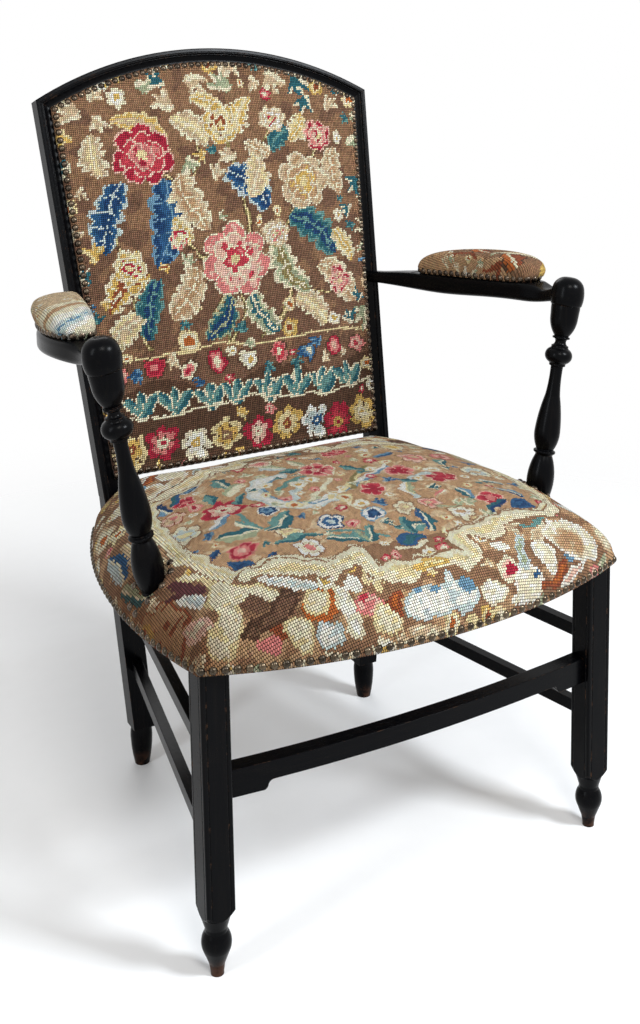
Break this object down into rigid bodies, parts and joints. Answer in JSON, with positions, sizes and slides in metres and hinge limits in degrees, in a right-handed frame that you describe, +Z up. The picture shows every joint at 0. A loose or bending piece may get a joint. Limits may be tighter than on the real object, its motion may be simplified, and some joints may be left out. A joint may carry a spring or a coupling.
{
  "type": "fireside armchair",
  "caption": "Open armchair with an arched raked back, domed stuffed seat and bowed padded arms on turned supports; ebonised frame, peg feet, stretchers, nailed needlework covers.",
  "frame": {"origin": "on the floor under the middle of the chair's box", "axes": "+Z up, the chair faces -Y, its left arm (as seen from in front) is towards -X"},
  "size_m": [0.7482, 0.7042, 1.0719],
  "materials": {
    "ebonised_wood": "semi-gloss black stain and polish, brown wear on the arrises",
    "frame_wood": "plain planed wood, unfinished",
    "seat_needlework": "tent-stitch wool on canvas, floral, tan ground",
    "back_needlework": "tent-stitch wool on canvas, floral, dark brown ground",
    "arm_needlework": "tent-stitch wool on canvas, leaf and stripe, beige ground",
    "outside_cloth": "plain brown woven cloth",
    "webbing": "plain jute webbing",
    "hessian": "open plain-woven jute",
    "stuffing": "hair and tow",
    "nail_brass": "antiqued, dull domed heads",
    "screw_steel": "plain steel"
  },
  "bodies": {
    "root": {"arm_left": "ebonised_wood", "arm_pad_cover_left": "arm_needlework", "arm_pad_cover_right": "arm_needlework", "arm_pad_nails_left": "nail_brass", "arm_pad_nails_right": "nail_brass", "arm_pad_stuffing_left": "stuffing", "arm_pad_stuffing_right": "stuffing", "arm_right": "ebonised_wood", "arm_support_left": "ebonised_wood", "arm_support_nails": "nail_brass", "arm_support_right": "ebonised_wood", "back_cover": "back_needlework", "back_hessian": "hessian", "back_nails": "nail_brass", "back_stuffing": "stuffing", "back_webbing": "webbing", "corner_block_front_left": "frame_wood", "corner_block_front_right": "frame_wood", "corner_block_rear_left": "frame_wood", "corner_block_rear_right": "frame_wood", "corner_block_screws": "screw_steel", "crest_rail": "ebonised_wood", "front_leg_left": "ebonised_wood", "front_leg_right": "ebonised_wood", "front_stretcher": "ebonised_wood", "lower_back_rail": "frame_wood", "lower_side_stretcher_left": "ebonised_wood", "lower_side_stretcher_right": "ebonised_wood", "outside_back_cover": "outside_cloth", "outside_back_nails": "nail_brass", "rear_post_left": "ebonised_wood", "rear_post_right": "ebonised_wood", "rear_stretcher": "ebonised_wood", "seat_cover": "seat_needlework", "seat_hessian": "hessian", "seat_nails": "nail_brass", "seat_rail_front": "frame_wood", "seat_rail_left": "frame_wood", "seat_rail_rear": "frame_wood", "seat_rail_right": "frame_wood", "seat_stuffing": "stuffing", "seat_webbing": "webbing", "upper_side_stretcher_left": "ebonised_wood", "upper_side_stretcher_right": "ebonised_wood"}
  },
  "joints": []
}
